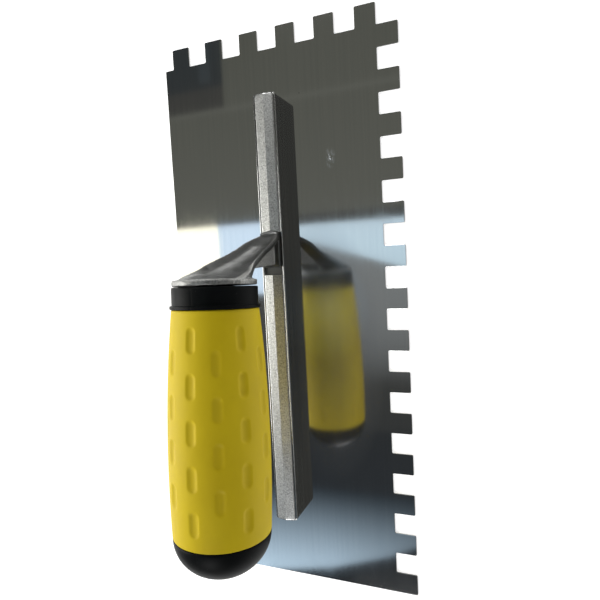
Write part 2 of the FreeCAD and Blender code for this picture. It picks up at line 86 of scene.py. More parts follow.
def add_node(material, kind, inputs=None, **settings):
    """One shading node. Each input is a number, a colour or another node's output."""
    made = material.node_tree.nodes.new(f"ShaderNode{kind}")
    for key, value in settings.items():
        setattr(made, key, value)
    for key, value in (inputs or {}).items():
        if isinstance(value, bpy.types.NodeSocket):
            material.node_tree.links.new(value, made.inputs[key])
        else:
            made.inputs[key].default_value = value
    return made


def mottle(material, spots, detail=3.0, sharpness=0.5):
    """A random field from 0 to 1. The spots are counted per metre along x, y and z."""
    place = add_node(material, "TexCoord").outputs["Object"]
    stretched = add_node(material, "Mapping", {"Vector": place, "Scale": spots}).outputs["Vector"]
    inputs = {"Vector": stretched, "Scale": 1.0, "Detail": detail, "Roughness": sharpness}
    return add_node(material, "TexNoise", inputs).outputs["Fac"]


def spread(material, value, start, end, low=0.0, high=1.0):
    """Carries a value that runs from start to end over to low to high, and holds it there."""
    inputs = {"Value": value, "From Min": start, "From Max": end, "To Min": low, "To Max": high}
    return add_node(material, "MapRange", inputs).outputs["Result"]


def blend(material, share, low, high):
    """Mixes two colours by a share from 0 to 1."""
    return add_node(material, "Mix", {0: share, 6: low, 7: high}, data_type="RGBA").outputs[2]


def blend_number(material, share, low, high):
    """Mixes two numbers by a share from 0 to 1."""
    return add_node(material, "Mix", {0: share, 2: low, 3: high}, data_type="FLOAT").outputs[0]


def calculate(material, operation, first, second):
    return add_node(material, "Math", {0: first, 1: second}, operation=operation).outputs[0]


def times(material, first, second):
    return calculate(material, "MULTIPLY", first, second)


def raised(material, value, share, amount):
    """Adds an amount to a value, in proportion to a share from 0 to 1."""
    return calculate(material, "ADD", value, times(material, share, amount))


def specks(material, spots, size):
    """Scattered round specks: 1 in a speck and 0 elsewhere. The size is a share of their spacing."""
    place = add_node(material, "TexCoord").outputs["Object"]
    cells = add_node(material, "TexVoronoi", {"Vector": place, "Scale": spots, "Randomness": 1.0})
    return spread(material, cells.outputs["Distance"], size, size * 0.6)


def relief(material, surface, height, depth):
    """Fine relief of the finish itself, with a depth in metres."""
    bump = add_node(material, "Bump", {"Height": height, "Distance": depth, "Strength": 1.0})
    material.node_tree.links.new(bump.outputs["Normal"], surface.inputs["Normal"])


def join(material, surface, socket, output):
    material.node_tree.links.new(output, surface.inputs[socket])


blade_steel, surface = new_material("blade_steel", {"Metallic": 1.0, "Anisotropic": 0.6, "IOR": 2.5})
streaks = mottle(blade_steel, (900, 14, 14), detail=4)
smudges = mottle(blade_steel, (22, 16, 16), detail=4, sharpness=0.6)
dots = specks(blade_steel, 55, 0.016)
facing = add_node(blade_steel, "NewGeometry").outputs["Normal"]
upright = add_node(blade_steel, "SeparateXYZ", {0: facing}).outputs["Z"]
face = spread(blade_steel, calculate(blade_steel, "ABSOLUTE", upright, 0.0), 0.5, 0.8)
fine = spread(blade_steel, streaks, 0.3, 0.7, 0.050, 0.062)
polish = calculate(blade_steel, "ADD", fine, spread(blade_steel, smudges, 0.55, 0.8, 0.0, 0.03))


def blade_patch(middle, size):
    """A soft oval patch on the blade's upper face: 1 at its middle and 0 at its rim. Both are in mm."""
    place = add_node(blade_steel, "TexCoord").outputs["Object"]
    centre = (middle[0] * MM, middle[1] * MM, 0)
    offset = add_node(blade_steel, "VectorMath", {0: place, 1: centre}, operation="SUBTRACT").outputs[0]
    scale = (1 / (size[0] * MM), 1 / (size[1] * MM), 0)
    shape = add_node(blade_steel, "VectorMath", {0: offset, 1: scale}, operation="MULTIPLY").outputs[0]
    reach = add_node(blade_steel, "VectorMath", {0: shape}, operation="LENGTH").outputs["Value"]
    on_top = spread(blade_steel, upright, 0.4, 0.7)
    return times(blade_steel, spread(blade_steel, reach, 1.0, 0.15), on_top)


# A thumb's print; a pale bluish patch beside the collar, a painted reflection; and a darker bluish patch
# behind the neck, painted shade on the mirrored handle.
skin_lines = mottle(blade_steel, (600, 420, 400), detail=5, sharpness=0.7)
thumb = times(blade_steel, blade_patch((28, 73.5), (3.2, 5.5)), spread(blade_steel, skin_lines, 0.42, 0.62))
# Painted reflection: a pale bluish tint where the collar's underside is mirrored.
painted_reflection_patch = blade_patch((21, 1), (24, 27))
# Painted shade: a darker bluish tint behind the neck that dims the mirrored handle.
painted_shade_patch = blade_patch((22, -22), (30, 66))
polish = raised(blade_steel, polish, painted_reflection_patch, 0.10)
polish = raised(blade_steel, polish, painted_shade_patch, 0.07)
haze = times(blade_steel, calculate(blade_steel, "MAXIMUM", painted_reflection_patch, painted_shade_patch), 0.20)
join(blade_steel, surface, "Metallic", calculate(blade_steel, "SUBTRACT", 1.0, haze))

CUT_EDGE_ROUGHNESS = 0.34
FACE_PALE, FACE_WARM = (0.505, 0.51, 0.505, 1), (0.535, 0.535, 0.525, 1)
# The last colour below is painted shade, a darker blue tint for the mirrored handle.
CUT_EDGE, SPECK, PAINTED_SHADE_TINT = (0.26, 0.26, 0.25, 1), (0.08, 0.07, 0.06, 1), (0.25, 0.275, 0.31, 1)
# The first colour below is a painted reflection, a pale blue tint beside the collar.
PAINTED_REFLECTION_TINT, THUMB = (0.53, 0.61, 0.69, 1), (0.80, 0.83, 0.88, 1)
steel = blend(blade_steel, spread(blade_steel, streaks, 0.3, 0.7), FACE_PALE, FACE_WARM)
steel = blend(blade_steel, face, CUT_EDGE, steel)
steel = blend(blade_steel, dots, steel, SPECK)
# Painted shade: darker and bluer over the mirrored handle.
steel = blend(blade_steel, times(blade_steel, painted_shade_patch, 0.9), steel, PAINTED_SHADE_TINT)
# Painted reflection: paler and bluer beside the collar.
steel = blend(blade_steel, times(blade_steel, painted_reflection_patch, 0.85), steel, PAINTED_REFLECTION_TINT)
steel = blend(blade_steel, thumb, steel, THUMB)
roughness = raised(blade_steel, blend_number(blade_steel, face, CUT_EDGE_ROUGHNESS, polish), thumb, 0.35)
join(blade_steel, surface, "Roughness", roughness)
join(blade_steel, surface, "Base Color", steel)
relief(blade_steel, surface, streaks, 0.0002 * MM)
along_blade = add_node(blade_steel, "Tangent", direction_type="UV_MAP", uv_map="lengthways").outputs[0]
join(blade_steel, surface, "Tangent", along_blade)

blade_mesh = welded("blade")
lengthways = blade_mesh.uv_layers.new(name="lengthways")
for loop in blade_mesh.loops:
    corner = blade_mesh.vertices[loop.vertex_index].co
    lengthways.data[loop.index].uv = (corner.y, corner.x)
blade = add_piece("steel_blade", blade_mesh, blade_steel, "blade")
blade_mesh.polygons.foreach_set("use_smooth", [False] * len(blade_mesh.polygons))
edge = blade.modifiers.new("edge_break", "BEVEL")
edge.width = EDGE_BREAK
edge.segments = 2
edge.limit_method = "ANGLE"
edge.angle_limit = math.radians(35)


# ---------------------------------------------------------------- rail
# A straight aluminium bar, 210 x 11.6 x 12.5 mm, that stiffens the blade and carries the neck. Its sides
# are drawn smooth and the low two-facet top is left as cast, between a thin bead and groove on each side.
# It has an open seat for the neck's foot and is riveted to the blade from below.
RAIL_HALF, RAIL_HALF_LENGTH, RAIL_FOOT = 5.8, 105.0, 0.7
# The bead and groove, as heights above the working face and distances from the middle.
BEAD = [(11.60, 5.80), (11.90, 5.79), (12.12, 5.72), (12.26, 5.58), (12.30, 5.40), (12.27, 5.22)]
GROOVE = [(12.12, 5.06), (11.92, 4.94), (12.10, 4.84), (12.40, 4.74), (12.53, 4.60)]
RIDGE_HEIGHT, FACET_FOOT, FACET_HALF = 13.2, 12.53, 4.60
SEAT_REAR, SEAT_FRONT, SEAT_FLOOR, SEAT_HALF, SEAT_BULGE = 18.5, 39.1, 10.7, 4.9, 1.0
SEAT_WALL, SEAT_MARGIN, SEAT_BAY = 0.02, 0.1, 3.0
END_ROUND, END_EASE = 1.6, 0.35
STATION_STEP, FACET_STEP = 0.6, 0.48
GRAIN_HEIGHT, GRAIN_DROP = 0.045, 0.02


def quarter_round(distance, radius):
    """How far a rounded corner stands in from its edge, at a distance from the corner."""
    if distance >= radius:
        return 0.0
    return radius - math.sqrt(radius**2 - (radius - distance) ** 2)


half_section = [(RAIL_FOOT, RAIL_HALF), (4.0, RAIL_HALF), (8.0, RAIL_HALF)] + BEAD + GROOVE
facet_columns = [FACET_HALF - FACET_STEP * i for i in range(1, 10)] + [0.12]
for x in facet_columns:
    half_section.append((FACET_FOOT + (RIDGE_HEIGHT - FACET_FOOT) * (1 - x / FACET_HALF), x))
right_side = [(x, z) for z, x in half_section]
rail_section = right_side + [(0.0, RIDGE_HEIGHT - 0.01)] + [(-x, z) for x, z in reversed(right_side)]


def plain_run(start, end):
    """Stations a step apart between two places, where no seat is cut."""
    run = []
    place = start + STATION_STEP
    while place < end - STATION_STEP / 2:
        run.append((place, False))
        place += STATION_STEP
    return run


# Each station is its place along the rail and whether the seat is cut there.
end_steps = [0.0, 0.04, 0.14, 0.35, 0.65, 1.05, END_ROUND]
stations = [(-RAIL_HALF_LENGTH + step, False) for step in end_steps]
stations += plain_run(-RAIL_HALF_LENGTH + END_ROUND, SEAT_REAR)
stations += [(SEAT_REAR - SEAT_MARGIN, False), (SEAT_REAR, False)]
stations += [(SEAT_REAR + SEAT_WALL, True), (SEAT_REAR + SEAT_BAY, True)]
stations += [(SEAT_FRONT - SEAT_BAY, True), (SEAT_FRONT - SEAT_WALL, True)]
stations += [(SEAT_FRONT, False), (SEAT_FRONT + SEAT_MARGIN, False)]
stations += plain_run(SEAT_FRONT + SEAT_BULGE, RAIL_HALF_LENGTH - END_ROUND)
stations += [(RAIL_HALF_LENGTH - step, False) for step in reversed(end_steps)]

rail_points = []
cast_share = []
seat_share = []
for y, in_seat in stations:
    to_end = RAIL_HALF_LENGTH - abs(y)
    narrowing = 1 - quarter_round(to_end, END_ROUND) / RAIL_HALF
    at_seat_front = abs(y - SEAT_FRONT) < 0.15
    for x, z in rail_section:
        top = abs(x) <= FACET_HALF
        inside = abs(x) < SEAT_HALF
        shift = SEAT_BULGE * (1 - (x / SEAT_HALF) ** 2) if at_seat_front and inside else 0.0
        wide = x * narrowing
        if in_seat and inside:
            z = SEAT_FLOOR
        elif top:
            z += GRAIN_HEIGHT * noise.noise(Vector((x * 1.3, y * 1.3, 0))) - GRAIN_DROP
            z += GRAIN_HEIGHT * noise.noise(Vector((x * 0.5, y * 0.3, 7)))
        if z > RAIL_FOOT + 1:
            z -= quarter_round(to_end, END_EASE)
        rail_points.append(Vector((wide, y + shift, z)) * MM)
        cast_share.append(1.0 if top and to_end > END_EASE else 0.0)
        seat_share.append(1.0 if in_seat and inside else 0.0)

width = len(rail_section)
rail_faces = []
for row in range(len(stations) - 1):
    for column in range(width):
        beside = (column + 1) % width
        low, high = row * width, (row + 1) * width
        rail_faces.append((low + column, low + beside, high + beside, high + column))
rail_faces.append(tuple(range(width)))
rail_faces.append(tuple(range(len(rail_points) - 1, len(rail_points) - 1 - width, -1)))


def skin_mesh(name, points, faces, doubled=True):
    """A clean closed mesh, with every face turned outwards and its doubled corners, if any, joined."""
    mesh = bpy.data.meshes.new(name)
    mesh.from_pydata(points, [], faces)
    skin = bmesh.new()
    skin.from_mesh(mesh)
    if doubled:
        bmesh.ops.remove_doubles(skin, verts=skin.verts, dist=WELD)
    bmesh.ops.recalc_face_normals(skin, faces=skin.faces)
    skin.to_mesh(mesh)
    skin.free()
    return mesh


def paint(mesh, name, shares):
    """Stores one share from 0 to 1 on each corner, for the material to read."""
    mesh.attributes.new(name, "FLOAT", "POINT").data.foreach_set("value", shares)


rail_mesh = skin_mesh("rail", rail_points, rail_faces, doubled=False)
paint(rail_mesh, "cast", cast_share)
paint(rail_mesh, "seat", seat_share)

rail_alloy, surface = new_material("rail_alloy", {"Metallic": 1.0, "IOR": 2.0})
cast = add_node(rail_alloy, "Attribute", attribute_name="cast").outputs["Fac"]
grit = mottle(rail_alloy, (1500, 1500, 1500), detail=5, sharpness=0.65)
lines = mottle(rail_alloy, (60, 9, 1600), detail=3)
CAST_DARK, CAST_BRIGHT = (0.24, 0.243, 0.237, 1), (0.60, 0.60, 0.59, 1)
# The last colour below is painted shade for the seat's floor under the neck's foot.
DRAWN_DARK, DRAWN_BRIGHT, SEAT_PAINTED_SHADE = (0.42, 0.425, 0.42, 1), (0.50, 0.50, 0.49, 1), (0.10, 0.10, 0.098, 1)
as_cast = blend(rail_alloy, spread(rail_alloy, grit, 0.35, 0.68), CAST_DARK, CAST_BRIGHT)
drawn = blend(rail_alloy, spread(rail_alloy, lines, 0.3, 0.7), DRAWN_DARK, DRAWN_BRIGHT)
# The seat's floor is coloured near black: painted shade in the recess around the neck's foot.
seat = add_node(rail_alloy, "Attribute", attribute_name="seat").outputs["Fac"]
as_cast = blend(rail_alloy, seat, as_cast, SEAT_PAINTED_SHADE)
join(rail_alloy, surface, "Base Color", blend(rail_alloy, cast, drawn, as_cast))
cast_rough = spread(rail_alloy, grit, 0.35, 0.7, 0.50, 0.34)
drawn_rough = spread(rail_alloy, lines, 0.3, 0.7, 0.12, 0.2)
join(rail_alloy, surface, "Roughness", blend_number(rail_alloy, cast, drawn_rough, cast_rough))
relief(rail_alloy, surface, times(rail_alloy, grit, cast), 0.07 * MM)
add_piece("mounting_rail", rail_mesh, rail_alloy, "rail")
rail_mesh.set_sharp_from_angle(angle=math.radians(50))


# ---------------------------------------------------------------- rivets
# Countersunk steel rivets hold the blade to the rail, and two longer ones hold the neck's foot.
# Their heads are ground flush with the working face, which leaves faint rings of fine scratches.
rivet_steel, surface = new_material("rivet_steel", {"Metallic": 1.0, "IOR": 2.5})
ground = mottle(rivet_steel, (1400, 120, 400), detail=4)
RIVET_DARK, RIVET_BRIGHT = (0.46, 0.46, 0.45, 1), (0.64, 0.64, 0.63, 1)
tone = blend(rivet_steel, spread(rivet_steel, ground, 0.3, 0.7), RIVET_DARK, RIVET_BRIGHT)
join(rivet_steel, surface, "Base Color", tone)
join(rivet_steel, surface, "Roughness", spread(rivet_steel, ground, 0.3, 0.7, 0.24, 0.38))
relief(rivet_steel, surface, ground, 0.002 * MM)


def finish_node(name, material):
    """Gives a hidden or flush part its finish, and leaves its shape as it is."""
    part = nodes[name]
    part.data.materials.clear()
    part.data.materials.append(material)


finish_node("blade_rivets", rivet_steel)
finish_node("neck_rivets", rivet_steel)


# ---------------------------------------------------------------- neck
# A die casting in aluminium: a foot in the rail's seat, an upright web, and a dished plate that leans back
# and widens to the round flange against the handle. Inner corners are filled and edges eased by the die.
# The dish is tumbled to a dark satin. The flange's edge and the web's sides keep a paler, coarse skin.
# Painted light: the dish's rim is coloured paler as a highlight, and the flange's front partly so.
AXIS_FOOT = Vector((0, 16.3, 66.6))
TILT = math.radians(3.3)
BACKWARDS = Vector((0, -math.cos(TILT), math.sin(TILT)))
UPWARDS = Vector((0, math.sin(TILT), math.cos(TILT)))
NECK_SKIN = 0.4 * MM
NECK_EASE_PASSES = 9
FLANGE_RADIUS, FLANGE_FRONT, FLANGE_REAR = 16.6, -2.7, -0.5
WEB_HALF = 2.3
# The dish: its raised rim, the height where it starts, its depth, and how it sinks in and runs out.
RIM_BAND, DISH_ROOT, DISH_SINK, DISH_SINK_IN, DISH_RUN_OUT = 5.0, 15.0, 1.5, 9.0, 5.0
# The flange front's band, coarse and painted paler as light on its facets, which fades out where the dish
# meets it.
FRONT_BAND, DISH_MIDDLE, DISH_HALF, DISH_FADE = 6.0, -1.0, 9.0, 4.0
# The flange's edge is chipped where it was trimmed and warps a little. The rest swells unevenly.
EDGE_DEPTH, CHIP_DEPTH, CHIP_SPREAD, FLANGE_WARP = 0.9, 0.16, 0.3, 0.35
SWELL, FINE_SWELL = 0.10, 0.04
# How coarse and pale each skin is, from 0 for satin to 1; on the rim and the flange's front partly painted
# light.
EDGE_FRONT_COARSE, EDGE_REAR_COARSE, WEB_COARSE, FLANGE_COARSE_AND_PAINTED_LIGHT, RIM_PAINTED_HIGHLIGHT = 0.75, 0.35, 0.95, 0.8, 0.22


def soft_step(value, span):
    """Rises smoothly from 0 to 1 as the value goes from 0 to the span."""
    share = min(1.0, max(0.0, value / span))
    return share * share * (3 - 2 * share)


def cast_skin(node, size, passes):
    """The node's shape as a casting leaves the die, with every corner filled or eased."""
    shape = bpy.data.objects.new("shape", welded(node))
    scene.collection.objects.link(shape)
    skin = shape.modifiers.new("skin", "REMESH")
    skin.mode = "VOXEL"
    skin.voxel_size = size
    ease = shape.modifiers.new("ease", "SMOOTH")
    ease.factor = 0.5
    ease.iterations = passes
    mesh = bpy.data.meshes.new_from_object(shape.evaluated_get(bpy.context.evaluated_depsgraph_get()))
    bpy.data.objects.remove(shape)
    return mesh


neck_mesh = cast_skin("neck", NECK_SKIN, NECK_EASE_PASSES)
outwards = [vertex.normal.copy() for vertex in neck_mesh.vertices]
half_widths = {}
for vertex in neck_mesh.vertices:
    level = round(vertex.co.z / MM)
    half_widths[level] = max(half_widths.get(level, 0.0), abs(vertex.co.x / MM))


def from_plate_edge(point):
    """How far a point of the plate stands in from the plate's side edge at its height."""
    level = math.floor(point.z)
    share = point.z - level
    below, above = half_widths.get(level, 0.0), half_widths.get(level + 1, 0.0)
    return below * (1 - share) + above * share - abs(point.x)


coarse_and_painted_light = []
for vertex, normal in zip(neck_mesh.vertices, outwards):
    point = vertex.co / MM
    from_foot = point - AXIS_FOOT
    along = from_foot.dot(BACKWARDS)
    off_axis = from_foot - BACKWARDS * along
    above_seat = point.z > SEAT_FLOOR + 1
    in_flange = FLANGE_FRONT - 0.4 < along < FLANGE_REAR + 0.3
    on_edge = in_flange and off_axis.length > FLANGE_RADIUS - EDGE_DEPTH
    on_web = above_seat and abs(normal.x) > 0.7 and abs(point.x) < 1.8 * WEB_HALF
    beside_dish = soft_step(abs(point.x - DISH_MIDDLE) - DISH_HALF, DISH_FADE)
    on_front = normal.dot(BACKWARDS) < -0.75 and off_axis.length > FLANGE_RADIUS - FRONT_BAND
    share = 0.0
    if on_edge:
        share = EDGE_FRONT_COARSE if along < FLANGE_FRONT + 0.8 else EDGE_REAR_COARSE
        chip = noise.noise(point * 1.1) * 0.6 + noise.noise(point * 0.45) * 0.4
        vertex.co -= off_axis.normalized() * (CHIP_DEPTH + CHIP_SPREAD * chip) * MM
        if along > FLANGE_REAR - EDGE_DEPTH:
            vertex.co += BACKWARDS * (FLANGE_WARP * (0.5 - 0.5 * point.x / FLANGE_RADIUS)) * MM
    elif on_web:
        share = WEB_COARSE
    elif on_front:
        # Paler here is partly coarse skin and partly painted light on the front facets.
        share = FLANGE_COARSE_AND_PAINTED_LIGHT * beside_dish
    if normal.y > 0.25 and not on_edge:
        from_rim = from_plate_edge(point)
        sunk = soft_step(from_rim, RIM_BAND) * soft_step(point.z - DISH_ROOT, DISH_SINK_IN)
        sunk *= soft_step(FLANGE_FRONT - 0.3 - along, DISH_RUN_OUT)
        vertex.co -= normal * DISH_SINK * sunk * MM
        # Painted highlight: a paler band along the dish's raised rim.
        share = max(share, RIM_PAINTED_HIGHLIGHT * (1 - soft_step(from_rim, 0.6 * RIM_BAND)))
    coarse_and_painted_light.append(share)
    if above_seat and along < FLANGE_REAR and not on_edge:
        swell = SWELL * noise.noise(point * 0.3) + FINE_SWELL * noise.noise(point * 0.9)
        vertex.co += normal * swell * MM
paint(neck_mesh, "coarse_and_painted_light", coarse_and_painted_light)

neck_alloy, surface = new_material("neck_alloy", {"IOR": 1.8})
coarse_skin_and_painted_light = add_node(neck_alloy, "Attribute", attribute_name="coarse_and_painted_light").outputs["Fac"]
clouds = mottle(neck_alloy, (110, 110, 70), detail=5, sharpness=0.6)
grit = mottle(neck_alloy, (1700, 1700, 1700), detail=4, sharpness=0.6)
SATIN_DARK, SATIN_PALE = (0.10, 0.102, 0.10, 1), (0.17, 0.173, 0.169, 1)
COARSE_DARK, COARSE_PALE = (0.30, 0.30, 0.29, 1), (0.70, 0.70, 0.68, 1)
satin = blend(neck_alloy, spread(neck_alloy, clouds, 0.3, 0.7), SATIN_DARK, SATIN_PALE)
sparkle = blend(neck_alloy, spread(neck_alloy, grit, 0.35, 0.68), COARSE_DARK, COARSE_PALE)
# Paler where coarse, which on the rim and the flange's front is painted light.
join(neck_alloy, surface, "Base Color", blend(neck_alloy, coarse_skin_and_painted_light, satin, sparkle))
join(neck_alloy, surface, "Metallic", spread(neck_alloy, coarse_skin_and_painted_light, 0.0, 1.0, 0.9, 0.5))
satin_rough = spread(neck_alloy, clouds, 0.3, 0.7, 0.36, 0.46)
COARSE_ROUGHNESS = 0.5
join(neck_alloy, surface, "Roughness", blend_number(neck_alloy, coarse_skin_and_painted_light, satin_rough, COARSE_ROUGHNESS))
grit_height = times(neck_alloy, grit, spread(neck_alloy, coarse_skin_and_painted_light, 0.0, 1.0, 0.12, 1.0))
relief(neck_alloy, surface, grit_height, 0.1 * MM)
add_piece("cast_neck", neck_mesh, neck_alloy, "neck")


# ---------------------------------------------------------------- handle core
# The core is moulded in one piece from black polypropylene. Its front shows as the collar with a thin
# rear lip, and its stem runs under the grip to a spigot for the cap. A parting line runs along the top
# and the bottom, and the skin is a fine satin with a little dust in it.
PARTING_DEPTH = 0.05
PARTING_TURNS = [-0.020, -0.009, 0.0, 0.009, 0.020]
RING_TURNS = 112


def handle_point(along, radius, turn):
    """A point of the handle: mm behind the collar's front, mm off the axis and a turn from the top."""
    side = Vector((math.sin(turn), 0, 0)) + UPWARDS * math.cos(turn)
    return (AXIS_FOOT + BACKWARDS * along + side * radius) * MM


def eased(corners, steps=4):
    """A section with rounded corners. Each corner is its place along, its radius and its rounding in mm."""
    points = []
    for i, (along, radius, rounding) in enumerate(corners):
        here = Vector((along, radius))
        if rounding == 0:
            points.append(here)
            continue
        start = here + (Vector(corners[i - 1][:2]) - here).normalized() * rounding
        end = here + (Vector(corners[(i + 1) % len(corners)][:2]) - here).normalized() * rounding
        for step in range(steps + 1):
            share = step / steps
            points.append(start * (1 - share) ** 2 + here * (2 * share * (1 - share)) + end * share**2)
    return points


def with_parting_lines():
    """Turns all round, with close ones at the top and the bottom for the parting lines."""
    turns = [math.tau * i / RING_TURNS for i in range(RING_TURNS)]
    kept = [turn for turn in turns if abs(math.sin(turn)) > 0.03]
    for middle in (0.0, math.pi):
        kept += [middle + offset for offset in PARTING_TURNS]
    return sorted(kept)


def parted(along, radius, turn):
    """Sinks the section a little along the parting lines."""
    across = abs(math.sin(turn))
    return along, radius - PARTING_DEPTH * max(0.0, 1 - across / PARTING_TURNS[-1])


def turned(name, section, turns, shape):
    """A closed ring of the section round the handle's axis. The shape moves each of its points."""
    points = []
    for turn in turns:
        for along, radius in section:
            points.append(handle_point(*shape(along, radius, turn), turn))
    rows = len(section)
    faces = []
    for i in range(len(turns)):
        this, following = i * rows, (i + 1) % len(turns) * rows
        for j in range(rows):
            beside = (j + 1) % rows
            faces.append((this + j, this + beside, following + beside, following + j))
    return skin_mesh(name, points, faces)


collar = [(0.0, 7.1, 0.3), (0.0, 16.7, 0.55), (7.0, 16.7, 0.15), (7.0, 17.5, 0.2), (8.35, 17.5, 0.25)]
stem = [(8.35, 13.85, 0.1), (30.0, 15.95, 0.0), (52.0, 16.65, 0.0), (74.0, 16.65, 0.0), (95.4, 16.15, 0.2)]
cap_spigot = [(95.4, 13.0, 0.1), (101.5, 13.0, 0.3), (101.5, 10.0, 0.2)]
bore = [(88.5, 10.0, 0.1), (88.5, 4.4, 0.1), (14.1, 4.4, 0.1), (14.1, 7.1, 0.1)]
core_section = eased(collar + stem + cap_spigot + bore)

black_plastic, surface = new_material("black_plastic", {"IOR": 1.49, "Specular IOR Level": 0.06})
clouds = mottle(black_plastic, (90, 60, 60), detail=4, sharpness=0.6)
pebble = mottle(black_plastic, (2600, 2600, 2600), detail=2)
dust = specks(black_plastic, 420, 0.06)
BLACK_DEEP, BLACK_WORN, DUST = (0.003, 0.0036, 0.004, 1), (0.0055, 0.0065, 0.007, 1), (0.05, 0.05, 0.05, 1)
black = blend(black_plastic, spread(black_plastic, clouds, 0.3, 0.7), BLACK_DEEP, BLACK_WORN)
join(black_plastic, surface, "Base Color", blend(black_plastic, dust, black, DUST))
join(black_plastic, surface, "Roughness", spread(black_plastic, clouds, 0.3, 0.7, 0.38, 0.5))
relief(black_plastic, surface, pebble, 0.012 * MM)
core_mesh = turned("handle_core", core_section, with_parting_lines(), parted)
add_piece("core_and_collar", core_mesh, black_plastic, "handle_core")
core_mesh.set_sharp_from_angle(angle=math.radians(50))


# ---------------------------------------------------------------- grip sleeve
# Soft yellow thermoplastic rubber moulded over the core, 3 mm thick and slightly barrelled. Six columns of
# soft-edged oblong scoops, staggered half a pitch, give it hold. The rubber flashed a little against the
# collar and the cap, so both of its ends wander slightly, and its scoops are coloured darker, unevenly.
SLEEVE_FRONT, SLEEVE_END, SLEEVE_THICK = 8.4, 95.5, 2.97
SLEEVE_FRONT_RADIUS, SLEEVE_BELLY_RADIUS, SLEEVE_END_RADIUS = 16.9, 19.67, 19.2
SCOOP_FIRST, SCOOP_STEP, SCOOP_RINGS, SCOOP_COLUMNS = 19.3, 8.25, 9, 6
SCOOP_LENGTH, SCOOP_WIDTH, SCOOP_DEPTH = 9.6, 4.1, 0.62
SLEEVE_STEP, SLEEVE_TURNS = 0.42, 288
WANDER = 0.22


def sleeve_radius(along):
    """The barrelled outside: one smooth curve through the front, belly and end radii."""
    share = (along - SLEEVE_FRONT) / (SLEEVE_END - SLEEVE_FRONT)
    front = SLEEVE_FRONT_RADIUS * (1 - share) * (1 - 2 * share)
    belly = SLEEVE_BELLY_RADIUS * 4 * share * (1 - share)
    end = SLEEVE_END_RADIUS * share * (2 * share - 1)
    return front + belly + end


def scoop_share(along, turn):
    """How deep in a scoop a place is, from 0 outside to 1 on its floor."""
    nearest = round((along - SCOOP_FIRST) / SCOOP_STEP)
    deepest = 0.0
    for ring in range(max(0, nearest - 1), min(SCOOP_RINGS, nearest + 2)):
        column = math.tau / SCOOP_COLUMNS
        stagger = column / 2 * (ring % 2)
        across = (turn - stagger + column / 2) % column - column / 2
        side = across * SLEEVE_BELLY_RADIUS
        over = max(0.0, abs(along - SCOOP_FIRST - SCOOP_STEP * ring) - (SCOOP_LENGTH - SCOOP_WIDTH) / 2)
        reach = math.hypot(side, over) / (SCOOP_WIDTH / 2)
        level = 1 - reach**2.4
        deepest = max(deepest, (level + math.sqrt(level**2 + 0.01)) / 2 if reach < 1.6 else 0.0)
    return min(1.0, deepest)


def scooped(along, radius, turn):
    """Sinks the scoops into the outside and lets the two ends wander."""
    outside = radius > sleeve_radius(along) - 0.5
    if outside and SLEEVE_FRONT + 2 < along < SLEEVE_END - 1:
        radius -= SCOOP_DEPTH * scoop_share(along, turn)
    if outside:
        around = Vector((math.cos(turn), math.sin(turn), 0)) * 3.2
        inwards = WANDER * (0.5 + 0.5 * noise.noise(around))
        if along < SLEEVE_FRONT + 1:
            along += inwards
        elif along > SLEEVE_END - 1:
            along -= inwards * 0.6
    return along, radius


# Each end's edge is eased: how far in from the end, and how far below the outside.
FRONT_EDGE, END_EDGE = [(0.0, 0.35), (0.06, 0.1)], [(0.25, 0.02), (0.06, 0.12), (0.0, 0.35)]
BARREL_FRONT, BARREL_LENGTH = SLEEVE_FRONT + 1, SLEEVE_END - SLEEVE_FRONT - 2
INNER_STEPS = 12
barrel_steps = round(BARREL_LENGTH / SLEEVE_STEP)
places = [SLEEVE_FRONT + 0.25, SLEEVE_FRONT + 0.6]
places += [BARREL_FRONT + BARREL_LENGTH * i / barrel_steps for i in range(barrel_steps + 1)]
places.append(SLEEVE_END - 0.6)
outer = [(SLEEVE_FRONT + inwards, sleeve_radius(SLEEVE_FRONT) - drop) for inwards, drop in FRONT_EDGE]
outer += [(along, sleeve_radius(along)) for along in places]
outer += [(SLEEVE_END - inwards, sleeve_radius(SLEEVE_END) - drop) for inwards, drop in END_EDGE]
inner = []
for i in range(INNER_STEPS + 1):
    along = SLEEVE_END - (SLEEVE_END - SLEEVE_FRONT) * i / INNER_STEPS
    inner.append((along, sleeve_radius(along) - SLEEVE_THICK))
sleeve_turns = [math.tau * i / SLEEVE_TURNS for i in range(SLEEVE_TURNS)]
sleeve_mesh = turned("grip_sleeve", outer + inner, sleeve_turns, scooped)

# How deep each corner lies in a scoop, for a darker colour there.
scoop_darkening_share = []
for vertex in sleeve_mesh.vertices:
    from_foot = vertex.co / MM - AXIS_FOOT
    turn = math.atan2(from_foot.x, from_foot.dot(UPWARDS))
    scoop_darkening_share.append(scoop_share(from_foot.dot(BACKWARDS), turn))
paint(sleeve_mesh, "scoop_darkening", scoop_darkening_share)

yellow_rubber, surface = new_material("yellow_rubber", {"IOR": 1.5, "Specular IOR Level": 0.25})
clouds = mottle(yellow_rubber, (70, 40, 40), detail=5, sharpness=0.6)
skin_grain = mottle(yellow_rubber, (1900, 1900, 1900), detail=3)
dots = specks(yellow_rubber, 95, 0.018)
hollow = add_node(yellow_rubber, "Attribute", attribute_name="scoop_darkening").outputs["Fac"]
YELLOW_DEEP, YELLOW_PALE = (0.70, 0.51, 0.003, 1), (0.77, 0.575, 0.006, 1)
SCOOP_DARK, DARK_SPOT = (0.50, 0.36, 0.02, 1), (0.06, 0.05, 0.01, 1)
yellow = blend(yellow_rubber, spread(yellow_rubber, clouds, 0.3, 0.7), YELLOW_DEEP, YELLOW_PALE)
